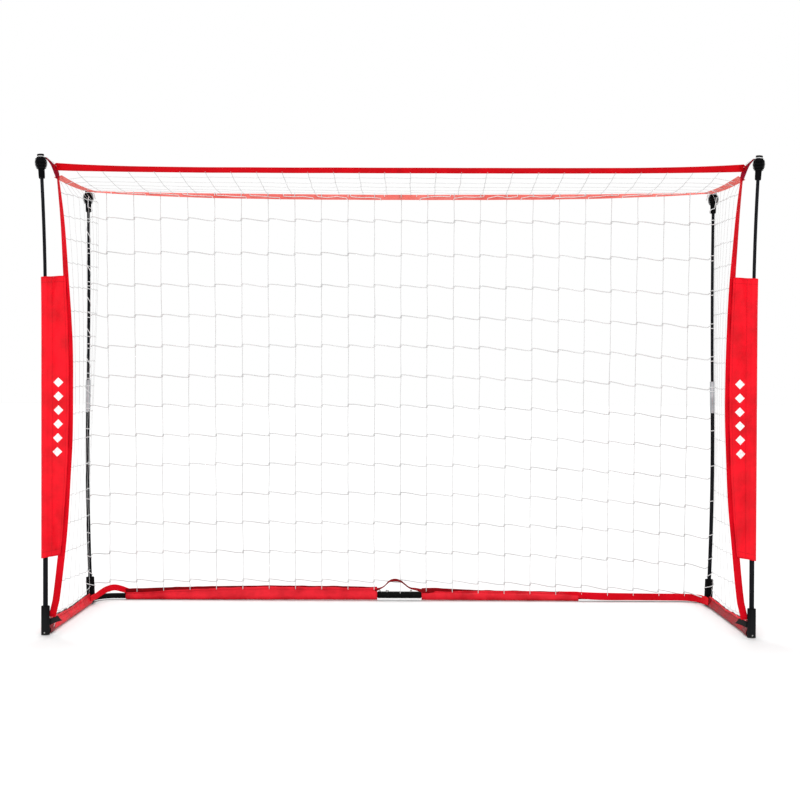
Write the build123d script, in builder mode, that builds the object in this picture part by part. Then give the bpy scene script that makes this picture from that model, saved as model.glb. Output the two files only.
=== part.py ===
from build123d import *
import math
import os

# Portable flexible-pole goal, 6 ft x 4 ft x 2 ft, in millimetres.
# +Z is up, +X is to the right of a player who faces the mouth, and the mouth faces -Y.
# The origin is on the ground, under the middle of the goal's box.

# ---- driving dimensions ----
goal_width = 1830.0        # between the front pole axes
goal_depth = 610.0         # front pole axes to the rear bar's axis
centring = 2.4             # moves the goal back, so that its box is centred on Y
net_height = 1220.0        # top edge of the crossbar strap
gap = 0.3                  # clearance between soft parts and what moves in them
fit = 0.06                 # radial clearance of a sliding fit

side_x = goal_width / 2
front_y = -goal_depth / 2 + centring
rear_y = goal_depth / 2 + centring

# base frame
tube_r = 8.0
tube_wall = 1.2
tube_z = 10.3              # height of the side tubes' axis
corner_r = 60.0
base_rise = 6.0            # the rear bar's middle is this much higher than its ends
level_x = 80.0             # half length of the rear bar's level middle
level_bend_r = 2000.0
coupler_r = 10.25
coupler_length = 132.0
button_x = {"left": -37.0, "right": 35.0}
button_r = {"left": 4.6, "right": 3.4}
button_rise = 5.4          # button top above the coupler
button_flange = 0.8
rivet_x = -59.0
spring_wall = 0.6
spring_width = 5.6
spring_length = 30.0

# front sockets
socket_r = 11.0
socket_top = 75.0
socket_bore = 6.4
plug_flange = 2.0
plug_top = 11.0
pin_z = 6.5
pin_r = 1.8
stub_r = 9.5
stub_reach = 34.0

# rear sockets
rear_pole_y = rear_y - 80.0
rear_socket_r = 12.0
rear_socket_height = 60.0
rear_lean = 0.04           # outward slope of the rear socket and pole foot
rear_foot_x = 915.0        # rear pole axis at the height of the tube's top
sleeve_r = 9.9
sleeve_length = 40.0
rear_floor = 4.0           # thickness under the rear pole's foot

# poles
lower_r = 6.34
rear_lower_r = 5.6
lower_wall = 1.8
upper_r = 4.35
ferrule_r = 6.9
ferrule_length = 93.0
ferrule_z = 570.0
front_straight_top = 800.0
front_bow_r = 7530.0
rear_bow_r = 9385.0
rear_upper_bow_r = 21200.0
front_cap_top = 1245.0
rear_cap_top = 1222.0

# pole caps: heights below the top, and radii
cap_height = 63.0
disc_r = 9.0
disc_height = 4.4
groove_r = 6.0
groove_height = 3.4
head_r = 11.0
body_r = 8.9
rib_r = 15.9
rib_count = 8
rib_pitch = 3.6
neck_r = 8.0
neck_height = 21.0
cap_roof = 12.0            # solid top of a cap, above the pole's end

# net and webbing
net_wall = 2.0
web_wall = 2.4
strap_height = 17.0
strap_sag = 8.0
corner_x = 888.0           # half width of the crossbar strap
web_width = 20.0
web_foot_x = 893.0
web_waist_x = 853.0        # the side webbing's middle, pulled in by the net
web_top_x = 884.0
web_foot_z = 36.0
web_top_z = 1198.0
flap_foot = 200.0
flap_top = 930.0
tunnel_r = 11.0
tunnel_wall = 1.6
hem_foot = 20.5
hem_top = 34.0
hem_hump = 24.0            # the net pulls the rear hem up over the coupler
wrap_foot = 18.9           # where the wrap's two leaves leave its round part
base_flap_r = 9.9
side_flap_front = front_y + 48.0
side_flap_rear = rear_pole_y - 28.0
rear_flap_span = {"left": (-826.0, -66.5), "right": (66.5, 540.0)}

sides = {"left": -1, "right": 1}
os.makedirs("parts", exist_ok=True)


def save(builder, name):
    """Label a finished piece and write its STEP file."""
    builder.part.label = name
    export_step(builder.part, f"parts/{name}.step")


def rod_along(points_line, radius, wall=0.0):
    """A rod or a tube swept along a built line."""
    line = points_line.line
    with BuildPart() as rod:
        with BuildSketch(Plane(origin=line @ 0, z_dir=line % 0)):
            Circle(radius)
            if wall > 0:
                Circle(radius - wall, mode=Mode.SUBTRACT)
        sweep(path=line)
    return rod


def bent_band(y, width, corners, arch):
    """A flat band in an XZ plane: two matching arcs, closed, and pulled out along Y.
    corners are the middle line's two ends, and arch is its middle point."""
    (x0, z0), (x1, z1) = corners
    run = math.hypot(x1 - x0, z1 - z0)
    nx = -(z1 - z0) / run * width / 2
    nz = (x1 - x0) / run * width / 2
    with BuildPart() as band:
        with BuildSketch(Plane.XZ.offset(-y - web_wall / 2)):
            with BuildLine():
                a = ThreePointArc((x0 - nx, z0 - nz), (arch[0] - nx, arch[1] - nz), (x1 - nx, z1 - nz))
                b = ThreePointArc((x1 + nx, z1 + nz), (arch[0] + nx, arch[1] + nz), (x0 + nx, z0 + nz))
                Line(a @ 1, b @ 0)
                Line(b @ 1, a @ 0)
            make_face()
        extrude(amount=web_wall)
    return band


# ---- base frame ----
coupler_z = tube_z + base_rise
base_path = {}
for side, s in sides.items():
    with BuildLine(Plane.XY.offset(tube_z)) as base_path[side]:
        FilletPolyline(
            (s * side_x, front_y + socket_r + 4, 0),
            (s * side_x, rear_y, 0),
            (s * level_x, rear_y, base_rise),
            (s, rear_y, base_rise),
            radius=(corner_r, level_bend_r),
        )

for side, s in sides.items():
    with BuildPart() as base_tube:
        add(rod_along(base_path[side], tube_r, tube_wall).part)
        with BuildSketch(Plane.XY.offset(coupler_z)):
            with Locations((button_x[side], rear_y)):
                Circle(button_r[side] + fit)
        extrude(amount=2 * tube_r, mode=Mode.SUBTRACT)
        if side == "left":
            with BuildSketch(Plane.XY.offset(coupler_z)):
                with Locations((rivet_x, rear_y)):
                    Circle(1.6)
            extrude(amount=2 * tube_r, mode=Mode.SUBTRACT)
        with BuildSketch(Plane.YZ.offset(s * (side_x - 2 * tube_r))):
            with Locations((rear_pole_y, tube_z)):
                Circle(2.0)
        extrude(amount=s * 4 * tube_r, mode=Mode.SUBTRACT)
    save(base_tube, f"base_tube_{side}")

with BuildPart() as rear_coupler:
    with BuildSketch(Plane.YZ.offset(-coupler_length / 2)):
        with Locations((rear_y, coupler_z)):
            Circle(coupler_r)
            Circle(tube_r, mode=Mode.SUBTRACT)
    extrude(amount=coupler_length)
    rims = rear_coupler.edges().filter_by(GeomType.CIRCLE).filter_by(lambda e: e.radius > tube_r + 1)
    chamfer(rims, length=1.0)
    with BuildSketch(Plane.XY.offset(coupler_z)):
        for side in sides:
            with Locations((button_x[side], rear_y)):
                Circle(button_r[side] + fit)
        with Locations((rivet_x, rear_y)):
            Circle(1.6)
    extrude(amount=2 * tube_r, mode=Mode.SUBTRACT)
save(rear_coupler, "rear_coupler")

# dome-headed rivet that keeps the coupler on the left tube
with BuildPart() as coupler_rivet:
    with BuildSketch(Plane(origin=(rivet_x, rear_y, coupler_z), x_dir=(1, 0, 0), z_dir=(0, -1, 0))):
        with BuildLine():
            Polyline((0, 5.2), (2.4, 5.2), (2.4, 6.2), (1.6, 6.2), (1.6, 10.3), (3.3, 10.3), (3.3, 12.6))
            ThreePointArc((3.3, 12.6), (2.3, 14.4), (0.5, 15.0))
            Polyline((0.5, 15.0), (0, 15.0), (0, 5.2))
        make_face()
    revolve(axis=Axis((rivet_x, rear_y, 0), (0, 0, 1)))
save(coupler_rivet, "coupler_rivet")

# snap buttons and the leaf springs that push them out
flange_foot = 3.6          # above the tube's axis
button_top = coupler_r + button_rise
for side, s in sides.items():
    r = button_r[side]
    dome = r * 0.45
    centre = (button_x[side], rear_y, coupler_z)
    with BuildPart() as snap_button:
        with BuildSketch(Plane(origin=centre, x_dir=(1, 0, 0), z_dir=(0, -1, 0))):
            with BuildLine():
                Polyline(
                    (0, flange_foot),
                    (4.9, flange_foot),
                    (4.9, flange_foot + button_flange),
                    (r, flange_foot + button_flange),
                    (r, button_top - dome),
                )
                shoulder = (r * 0.74, button_top - dome * 0.3)
                ThreePointArc((r, button_top - dome), shoulder, (0.8, button_top))
                Polyline((0.8, button_top), (0, button_top), (0, flange_foot))
            make_face()
        revolve(axis=Axis((button_x[side], rear_y, 0), (0, 0, 1)))
    save(snap_button, f"snap_button_{side}")

    # a leaf folded back on itself, with its bend towards the goal's middle
    top = flange_foot - spring_wall
    foot = -5.6
    bend_x = button_x[side] - s * spring_length / 2
    tip_x = button_x[side] + s * 5
    half = (top - foot) / 2
    middle = (top + foot) / 2
    with BuildPart() as snap_spring:
        with BuildSketch(Plane.XZ.offset(-rear_y - spring_width / 2)):
            with BuildLine():
                Line((tip_x, coupler_z + top + spring_wall), (bend_x, coupler_z + top + spring_wall))
                ThreePointArc(
                    (bend_x, coupler_z + top + spring_wall),
                    (bend_x - s * (half + spring_wall), coupler_z + middle + spring_wall / 2),
                    (bend_x, coupler_z + foot),
                )
                Polyline(
                    (bend_x, coupler_z + foot),
                    (button_x[side] + s * spring_length / 2, coupler_z + foot),
                    (button_x[side] + s * spring_length / 2, coupler_z + foot + spring_wall),
                    (bend_x, coupler_z + foot + spring_wall),
                )
                ThreePointArc(
                    (bend_x, coupler_z + foot + spring_wall),
                    (bend_x - s * half, coupler_z + middle + spring_wall / 2),
                    (bend_x, coupler_z + top),
                )
                Polyline(
                    (bend_x, coupler_z + top),
                    (tip_x, coupler_z + top),
                    (tip_x, coupler_z + top + spring_wall),
                )
            make_face()
        extrude(amount=spring_width)
    save(snap_spring, f"snap_spring_{side}")

# ---- front sockets ----
for side, s in sides.items():
    foot = Plane.XY.offset(plug_flange)
    stub_plane = Plane.XZ.offset(-front_y)
    with BuildPart() as front_socket:
        with BuildSketch(foot):
            with Locations((s * side_x, front_y)):
                Circle(socket_r)
        extrude(amount=socket_top - plug_flange)
        with BuildSketch(stub_plane):
            with Locations((s * side_x, tube_z)):
                Circle(stub_r)
        extrude(amount=-stub_reach)
        top_rim = front_socket.edges().filter_by(GeomType.CIRCLE).sort_by(Axis.Z)[-1]
        fillet(top_rim, radius=1.5)
        with BuildSketch(foot):
            with Locations((s * side_x, front_y)):
                Circle(socket_bore)
        extrude(amount=socket_top, mode=Mode.SUBTRACT)
        with BuildSketch(foot):
            with Locations((s * side_x, front_y)):
                Circle(socket_r)
        extrude(amount=-plug_flange, mode=Mode.SUBTRACT)
        with BuildSketch(Plane.XZ.offset(-(front_y + socket_r + 4))):
            with Locations((s * side_x, tube_z)):
                Circle(tube_r)
        extrude(amount=-stub_reach, mode=Mode.SUBTRACT)
        with BuildSketch(Plane.XZ.offset(-front_y)):
            with Locations((s * side_x, pin_z)):
                Circle(pin_r)
        extrude(amount=socket_r + 4, both=True, mode=Mode.SUBTRACT)
    save(front_socket, f"front_socket_{side}")

    with BuildPart() as foot_plug:
        with BuildSketch():
            with Locations((s * side_x, front_y)):
                Circle(socket_r)
        extrude(amount=plug_flange)
        with BuildSketch(foot):
            with Locations((s * side_x, front_y)):
                Circle(socket_bore)
        extrude(amount=plug_top - plug_flange)
        with BuildSketch(stub_plane):
            with Locations((s * side_x, pin_z)):
                Circle(pin_r)
        extrude(amount=socket_r + 4, both=True, mode=Mode.SUBTRACT)
    save(foot_plug, f"foot_plug_{side}")

with BuildPart() as front_socket_pins:
    for s in sides.values():
        with BuildSketch(Plane.XZ.offset(-(front_y + socket_r + 2))):
            with Locations((s * side_x, pin_z)):
                Circle(pin_r)
        extrude(amount=2 * socket_r + 2.5)
save(front_socket_pins, "front_socket_pins")

# ---- rear sockets ----
tube_top = tube_z + tube_r
rear_axis = {side: Vector(s * rear_lean, 0, 1).normalized() for side, s in sides.items()}
rear_foot = {side: Vector(s * rear_foot_x, rear_pole_y, tube_top) for side, s in sides.items()}
for side, s in sides.items():
    socket_plane = Plane(origin=rear_foot[side], z_dir=rear_axis[side])
    with BuildPart() as rear_socket:
        with BuildSketch(Plane.XZ.offset(-(rear_pole_y - sleeve_length / 2))):
            with Locations((s * side_x, tube_z)):
                Circle(sleeve_r)
        extrude(amount=-sleeve_length)
        with BuildSketch(socket_plane.offset(-4)):
            Circle(rear_socket_r)
        extrude(amount=rear_socket_height + 4)
        fillet(rear_socket.edges().sort_by(Axis.Z)[-1], radius=1.5)
        with BuildSketch(Plane.XZ.offset(-(rear_pole_y - sleeve_length))):
            with Locations((s * side_x, tube_z)):
                Circle(tube_r)
        extrude(amount=-2 * sleeve_length, mode=Mode.SUBTRACT)
        with BuildSketch(socket_plane.offset(rear_floor)):
            Circle(rear_lower_r + fit)
        extrude(amount=rear_socket_height, mode=Mode.SUBTRACT)
        with BuildSketch(Plane.YZ):
            with Locations((rear_pole_y, tube_z)):
                Circle(2.0)
        extrude(amount=s * 2 * side_x, mode=Mode.SUBTRACT)
    save(rear_socket, f"rear_socket_{side}")

# one through rivet holds each rear socket's sleeve on its tube
with BuildPart() as rear_socket_rivets:
    for s in sides.values():
        with BuildSketch(Plane.YZ.offset(s * side_x)):
            with Locations((rear_pole_y, tube_z)):
                Circle(2.0)
        extrude(amount=sleeve_r, both=True)
        for end in (-1, 1):
            with BuildSketch(Plane.YZ.offset(s * side_x + end * sleeve_r)):
                with Locations((rear_pole_y, tube_z)):
                    Circle(3.6)
            extrude(amount=end * 1.4, taper=30)
save(rear_socket_rivets, "rear_socket_rivets")


# ---- poles ----
def pole_cap(origin, axis):
    """A ribbed moulded cap, from its top down the pole's axis, with a groove for the net's loop."""
    rib_top = disc_height + groove_height + 3.0
    profile = [(0, 0), (disc_r - 1, 0), (disc_r, -1), (disc_r, -disc_height)]
    profile += [(groove_r, -disc_height), (groove_r, -disc_height - groove_height)]
    profile += [(head_r, -disc_height - groove_height)]
    for i in range(rib_count):
        tip = rib_r - 0.22 * (i - 3) ** 2
        z = -rib_top - i * rib_pitch
        profile += [(body_r, z), (tip, z - 0.4), (tip, z - 1.3), (body_r, z - 1.7)]
    profile += [(body_r - 0.2, -cap_height + neck_height + 1.5), (neck_r + 0.3, -cap_height + neck_height)]
    profile += [(neck_r, -cap_height + 3), (neck_r - 0.8, -cap_height), (0, -cap_height), (0, 0)]
    plane = Plane(origin=origin, x_dir=(0, 1, 0), z_dir=axis.cross(Vector(0, 1, 0)) * -1)
    with BuildPart() as cap:
        with BuildSketch(plane):
            with BuildLine():
                Polyline(*profile)
            make_face()
        revolve(axis=Axis(origin, axis))
        with BuildSketch(Plane(origin=origin - axis * cap_height, z_dir=axis)):
            Circle(upper_r + 0.2)
        extrude(amount=cap_height - cap_roof, mode=Mode.SUBTRACT)
    return cap


def ferrule(origin, axis, lower_radius):
    """A metal sleeve with a wide socket for the lower pole and a narrow one for the upper pole."""
    with BuildPart() as sleeve:
        with BuildSketch(Plane(origin=origin, z_dir=axis)):
            Circle(ferrule_r)
        extrude(amount=ferrule_length)
        ends = sleeve.edges().filter_by(GeomType.CIRCLE)
        chamfer(ends, length=0.5)
        with BuildSketch(Plane(origin=origin, z_dir=axis)):
            Circle(lower_radius)
        extrude(amount=ferrule_length / 2, mode=Mode.SUBTRACT)
        with BuildSketch(Plane(origin=origin, z_dir=axis)):
            Circle(upper_r)
        extrude(amount=ferrule_length, mode=Mode.SUBTRACT)
    return sleeve


cap_frame = {}
for side, s in sides.items():
    pole_plane = Plane.XZ.offset(-front_y)
    with BuildPart() as lower:
        with BuildSketch(Plane.XY.offset(plug_top + gap)):
            with Locations((s * side_x, front_y)):
                Circle(lower_r)
                Circle(lower_r - lower_wall, mode=Mode.SUBTRACT)
        extrude(amount=ferrule_z + ferrule_length / 2 - plug_top - gap)
    save(lower, f"front_pole_lower_{side}")

    up = Vector(0, 0, 1)
    save(ferrule(Vector(s * side_x, front_y, ferrule_z), up, lower_r), f"front_ferrule_{side}")

    bow = math.degrees((front_cap_top - cap_roof - front_straight_top) / front_bow_r)
    with BuildLine(pole_plane) as path:
        Line((s * side_x, ferrule_z + ferrule_length / 2), (s * side_x, front_straight_top))
        JernArc((s * side_x, front_straight_top), (0, 1), front_bow_r, -s * bow)
    save(rod_along(path, upper_r), f"front_pole_upper_{side}")
    lean = path.line % 1
    top = path.line @ 1 + lean * cap_roof
    cap_frame["front", side] = (top, lean)
    save(pole_cap(top, lean), f"front_cap_{side}")

for side, s in sides.items():
    pole_plane = Plane.XZ.offset(-rear_pole_y)
    axis = rear_axis[side]
    foot = rear_foot[side] + axis * (rear_floor + gap)
    bow_foot = rear_foot[side] + axis * (rear_socket_height + 2)
    bow = math.degrees((ferrule_z - bow_foot.Z) / rear_bow_r)
    with BuildLine(pole_plane) as path:
        Line((foot.X, foot.Z), (bow_foot.X, bow_foot.Z))
        curve = JernArc((bow_foot.X, bow_foot.Z), (axis.X, axis.Z), rear_bow_r, s * bow)
        into = curve @ 1 + (curve % 1) * (ferrule_length / 2)
        Line(curve @ 1, into)
    save(rod_along(path, rear_lower_r, lower_wall), f"rear_pole_lower_{side}")
    sleeve_axis = path.line % 1
    sleeve_foot = path.line @ 1 - sleeve_axis * (ferrule_length / 2)
    save(ferrule(sleeve_foot, sleeve_axis, rear_lower_r), f"rear_ferrule_{side}")

    middle = path.line @ 1
    shoulder = middle + sleeve_axis * (ferrule_length / 2 + 2)
    bow = math.degrees((rear_cap_top - cap_roof - shoulder.Z) / rear_upper_bow_r)
    with BuildLine(pole_plane) as path:
        Line((middle.X, middle.Z), (shoulder.X, shoulder.Z))
        JernArc((shoulder.X, shoulder.Z), (sleeve_axis.X, sleeve_axis.Z), rear_upper_bow_r, -s * bow)
    save(rod_along(path, upper_r), f"rear_pole_upper_{side}")
    lean = path.line % 1
    top = path.line @ 1 + lean * cap_roof
    cap_frame["rear", side] = (top, lean)
    save(pole_cap(top, lean), f"rear_cap_{side}")

# loops of webbing that hold the net's top corners in the caps' grooves
loop_wall = groove_height - 1.4
loop_width = {"front": 14.0, "rear": 10.0}
tail_end = {"front": corner_x + 4.5, "rear": 902.0}
tail_drop = {"front": 20.0, "rear": 22.0}
for (end, side), (top, lean) in cap_frame.items():
    s = sides[side]
    groove = top - lean * (disc_height + groove_height / 2)
    inner = groove.X - s * disc_r
    elbow = top.X - s * (rib_r + 2.5)
    half = loop_width[end] / 2
    with BuildPart() as loop:
        with BuildSketch(Plane.XY.offset(groove.Z - loop_wall / 2)):
            with Locations((groove.X, groove.Y)):
                Circle(disc_r - 0.6)
                Circle(groove_r + 0.5, mode=Mode.SUBTRACT)
        extrude(amount=loop_wall)
        with BuildSketch(Plane.XZ.offset(-(groove.Y - half))):
            with BuildLine():
                Polyline(
                    (inner + s * 1.5, groove.Z - loop_wall / 2),
                    (elbow, groove.Z - loop_wall / 2),
                    (s * tail_end[end], groove.Z - tail_drop[end]),
                    (s * (tail_end[end] - 2), groove.Z - tail_drop[end] + 3),
                    (elbow - s, groove.Z + loop_wall / 2),
                    (inner + s * 1.5, groove.Z + loop_wall / 2),
                    close=True,
                )
            make_face()
        extrude(amount=-2 * half)
    save(loop, f"{end}_loop_{side}")

# ---- net panels: thin skins that stand for open knotted mesh ----
back_top_y = rear_pole_y + 10.0
back_foot_y = rear_y - 13.0
net_half = 893.0
back_top_z = 1213.0          # middle line of the back top strap, at its ends
side_top_z = {"front": 1186.0, "rear": 1214.0}

with BuildPart() as net_back:
    slope = Plane(
        origin=(0, back_foot_y, hem_top + 6),
        x_dir=(1, 0, 0),
        z_dir=(0, -(back_top_z - hem_top), back_top_y - back_foot_y),
    )
    run = math.hypot(back_top_z - hem_top - 24, back_top_y - back_foot_y)
    with BuildSketch(slope):
        with Locations((0, run / 2)):
            Rectangle(2 * net_half, run)
    extrude(amount=net_wall / 2, both=True)
save(net_back, "net_back")


def sagging_section(plane, half, z):
    """A thin arc across the goal, lowest in the middle."""
    low = z - strap_sag
    with BuildSketch(plane) as section:
        with BuildLine():
            a = ThreePointArc((-half, z), (0, low), (half, z))
            b = ThreePointArc((half, z + net_wall), (0, low + net_wall), (-half, z + net_wall))
            Line(a @ 1, b @ 0)
            Line(b @ 1, a @ 0)
        make_face()
    return section.sketch


with BuildPart() as net_roof:
    front_edge = sagging_section(Plane.XZ.offset(-front_y - 4), corner_x - 22, net_height - 5)
    rear_edge = sagging_section(Plane.XZ.offset(-back_top_y + 6), net_half - 14, back_top_z - 4)
    loft(sections=[front_edge, rear_edge], ruled=True)
save(net_roof, "net_roof")

for side, s in sides.items():
    with BuildPart() as net_side:
        sections = []
        front_edge = (web_foot_x, web_waist_x, web_top_x, side_top_z["front"] - 12)
        rear_edge = (net_half + 8, net_half + 2, net_half, side_top_z["rear"] - 12)
        for y, (x0, x1, x2, z2) in ((front_y + 8, front_edge), (rear_pole_y - 22, rear_edge)):
            with BuildSketch(Plane.XZ.offset(-y)) as section:
                with BuildLine():
                    low = hem_top + 4
                    mid = (low + z2) / 2
                    outer = [(s * x0, low), (s * x1, mid), (s * x2, z2)]
                    a = ThreePointArc(*outer)
                    b = ThreePointArc(*[(x - s * net_wall, z) for x, z in reversed(outer)])
                    Line(a @ 1, b @ 0)
                    Line(b @ 1, a @ 0)
                make_face()
            sections.append(section.sketch)
        loft(sections=sections, ruled=True)
    save(net_side, f"net_side_{side}")


def web_x(z):
    """Distance of the side webbing's middle line from the goal's middle, at a height."""
    heights = (web_foot_z + 16, (web_foot_z + web_top_z) / 2, web_top_z - 8)
    places = (web_foot_x, web_waist_x, web_top_x)
    total = 0
    for i in range(3):
        j, k = (i + 1) % 3, (i + 2) % 3
        share = (z - heights[j]) * (z - heights[k]) / (heights[i] - heights[j]) / (heights[i] - heights[k])
        total += places[i] * share
    return total


# ---- webbing ----
strap_z = net_height - strap_height / 2
crossbar_ends = ((-corner_x, strap_z), (corner_x, strap_z))
crossbar = bent_band(front_y, strap_height, crossbar_ends, (0, strap_z - strap_sag))
save(crossbar, "crossbar_strap")

back_ends = ((-net_half, back_top_z), (net_half, back_top_z))
back_strap = bent_band(back_top_y + 4, strap_height, back_ends, (0, back_top_z - strap_sag))
save(back_strap, "back_top_strap")

for side, s in sides.items():
    webbing = bent_band(
        front_y,
        web_width,
        ((s * web_foot_x, web_foot_z + 16), (s * web_top_x, web_top_z - 8)),
        (s * web_waist_x, (web_foot_z + web_top_z) / 2),
    )
    save(webbing, f"side_webbing_{side}")

    with BuildPart() as side_top_strap:
        with BuildSketch(Plane.YZ.offset(s * (corner_x + 1.5) - web_wall / 2)):
            with BuildLine():
                Polyline(
                    (front_y + 8, side_top_z["front"] - web_width / 2),
                    (rear_pole_y - 20, side_top_z["rear"] - web_width / 2),
                    (rear_pole_y - 20, side_top_z["rear"] + web_width / 2),
                    (front_y + 8, side_top_z["front"] + web_width / 2),
                    close=True,
                )
            make_face()
        extrude(amount=web_wall)
    save(side_top_strap, f"side_top_strap_{side}")

    # wide panel from the side webbing to a sleeve round the pole
    with BuildPart() as pole_flap:
        with BuildSketch(Plane.XY.offset(flap_foot)):
            with Locations((s * side_x, front_y)):
                Circle(tunnel_r)
                Circle(tunnel_r - tunnel_wall, mode=Mode.SUBTRACT)
        extrude(amount=flap_top - flap_foot)
        outer_x = side_x - tunnel_r + tunnel_wall / 2
        heights = (flap_foot, (flap_foot + flap_top) / 2, flap_top)
        inner = [(s * (web_x(z) + web_width / 2 + 0.8), z) for z in heights]
        with BuildSketch(Plane.XZ.offset(-front_y - web_wall / 2)):
            with BuildLine():
                ThreePointArc(*inner)
                Polyline(inner[2], (s * outer_x, flap_top), (s * outer_x, flap_foot), inner[0])
            make_face()
        extrude(amount=web_wall)
    save(pole_flap, f"pole_flap_{side}")

    # hem webbing and the wrap that closes round the side tube
    with BuildPart() as side_hem:
        with Locations((s * side_x, (front_y + 40 + side_flap_rear) / 2, (hem_foot + hem_top) / 2)):
            Box(web_wall, side_flap_rear - front_y - 40, hem_top - hem_foot)
    save(side_hem, f"side_hem_{side}")

    with BuildPart() as side_flap:
        with BuildSketch(Plane.XZ.offset(-side_flap_front)):
            with Locations((s * side_x, tube_z)):
                Circle(base_flap_r)
                Circle(tube_r, mode=Mode.SUBTRACT)
            for offset_x in (-web_wall, web_wall):
                with Locations((s * side_x + offset_x, (wrap_foot + hem_top) / 2)):
                    Rectangle(web_wall - 0.4, hem_top - wrap_foot)
        extrude(amount=-(side_flap_rear - side_flap_front))
    save(side_flap, f"side_base_flap_{side}")

    span = rear_flap_span[side]
    climb = base_rise / (side_x - level_x)
    end_z = tube_z + climb * (side_x - abs(span[0]))
    with BuildPart() as rear_flap:
        with BuildSketch(Plane.YZ.offset(span[0])):
            with Locations((rear_y, end_z)):
                Circle(base_flap_r)
                Circle(tube_r, mode=Mode.SUBTRACT)
            for offset_y in (-web_wall, web_wall):
                with Locations((rear_y + offset_y, end_z + (wrap_foot + hem_top) / 2 - tube_z)):
                    Rectangle(web_wall - 0.4, hem_top - wrap_foot)
        extrude(amount=math.hypot(span[1] - span[0], base_rise), dir=(1, 0, -s * climb))
    save(rear_flap, f"rear_base_flap_{side}")

    # dark reinforcing patch where the side webbing meets the base wrap
    with BuildPart() as gusset:
        with BuildSketch(Plane.XZ.offset(-(front_y + 3))):
            with BuildLine():
                Polyline(
                    (s * (side_x - 13), 24),
                    (s * (side_x - 34), 28),
                    (s * (side_x - 30), 50),
                    (s * (side_x - 13), 44),
                    close=True,
                )
            make_face()
        extrude(amount=-web_wall)
    save(gusset, f"net_gusset_{side}")

with BuildPart() as rear_hem:
    with BuildSketch(Plane.XZ.offset(-rear_y - web_wall / 2)):
        with BuildLine():
            half = side_x - 18
            low, high = hem_foot + 1.5, hem_top - 0.5
            Polyline(
                (-half, low),
                (-level_x, low + base_rise),
                (0, low + base_rise + hem_hump),
                (level_x, low + base_rise),
                (half, low),
                (half, high),
                (level_x, high + base_rise),
                (0, high + base_rise + hem_hump),
                (-level_x, high + base_rise),
                (-half, high),
                close=True,
            )
        make_face()
    extrude(amount=web_wall)
save(rear_hem, "rear_hem")
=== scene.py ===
import random
from functools import partial
from itertools import accumulate
from math import cos, dist, exp, pi, radians, sin, sqrt, tau

import bpy
import numpy as np
from mathutils import Matrix, Vector
from mathutils.noise import noise


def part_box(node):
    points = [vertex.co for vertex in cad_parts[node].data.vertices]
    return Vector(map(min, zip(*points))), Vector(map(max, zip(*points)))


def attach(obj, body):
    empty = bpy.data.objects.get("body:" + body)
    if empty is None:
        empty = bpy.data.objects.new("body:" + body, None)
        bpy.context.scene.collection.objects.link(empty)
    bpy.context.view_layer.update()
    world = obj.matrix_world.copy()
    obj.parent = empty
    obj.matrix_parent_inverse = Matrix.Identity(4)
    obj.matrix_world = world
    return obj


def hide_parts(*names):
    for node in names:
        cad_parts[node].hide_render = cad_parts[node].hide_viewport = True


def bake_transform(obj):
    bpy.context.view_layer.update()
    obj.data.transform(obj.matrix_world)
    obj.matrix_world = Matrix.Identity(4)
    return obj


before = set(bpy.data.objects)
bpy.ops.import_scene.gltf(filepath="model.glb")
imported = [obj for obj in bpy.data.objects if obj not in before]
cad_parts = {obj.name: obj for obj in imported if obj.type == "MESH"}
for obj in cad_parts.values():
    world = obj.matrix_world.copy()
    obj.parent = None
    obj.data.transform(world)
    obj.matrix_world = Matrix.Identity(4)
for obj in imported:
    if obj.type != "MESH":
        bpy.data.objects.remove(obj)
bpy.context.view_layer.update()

random.seed(7)
MM = 0.001
SIDES = {"left": -1, "right": 1}
UP = Vector((0, 0, 1))


def vec(x, y, z):
    return Vector((x, y, z))


def mm(x, y, z):
    return Vector((x, y, z)) * MM


def clamp(share):
    return min(1, max(0, share))


def runs(section):
    """How far along a cross-section each of its points is, in millimetres."""
    return list(accumulate((dist(a, b) / MM for a, b in zip(section, section[1:])), initial=0))


# ---- places, read from the frame
def centre_of(node):
    low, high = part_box(node)
    return (low + high) / 2


post_x, front_y = centre_of("foot_plug_right")[:2]
coupler = centre_of("rear_coupler")
rear_y = coupler.y
side_tube_z = centre_of("rear_socket_rivets").z
bar_rise = coupler.z - side_tube_z
rear_pole_y = centre_of("rear_ferrule_right").y
tube_r = 8 * MM
level_x = 80 * MM
crossbar_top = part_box("crossbar_strap")[1].z
corner_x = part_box("crossbar_strap")[1].x
flap_low, flap_high = (p.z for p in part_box("pole_flap_right"))
web_low, web_high = (p.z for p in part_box("side_webbing_right"))
back_top_y = centre_of("back_top_strap").y
back_top_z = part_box("back_top_strap")[1].z
middle_y = (front_y + back_top_y) / 2


def pole_line(end, side):
    """A pole's centreline, from the rings of points in its CAD nodes: heights, x places and y places."""
    rings = []
    for part in ("lower", "upper"):
        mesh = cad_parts[f"{end}_pole_{part}_{side}"].data
        points = np.array([v.co for v in mesh.vertices])
        points = points[points[:, 2].argsort()]
        breaks = np.flatnonzero(np.diff(points[:, 2]) > 4 * MM) + 1
        rings += [(ring.min(0) + ring.max(0)) / 2 for ring in np.split(points, breaks)]
    rings = np.array(sorted(rings, key=lambda ring: ring[2]))
    return rings[:, 2], rings[:, 0], rings[:, 1]


pole_lines = {(end, side): pole_line(end, side) for end in ("front", "rear") for side in SIDES}


def pole_at(end, side, z):
    heights, xs, ys = pole_lines[end, side]
    return vec(np.interp(z, heights, xs), np.interp(z, heights, ys), z)


def bar_z(x):
    """Height of the rear bar's axis, which rises a little towards its middle."""
    share = (post_x - abs(x)) / (post_x - level_x)
    return side_tube_z + bar_rise * clamp(share)


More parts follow.
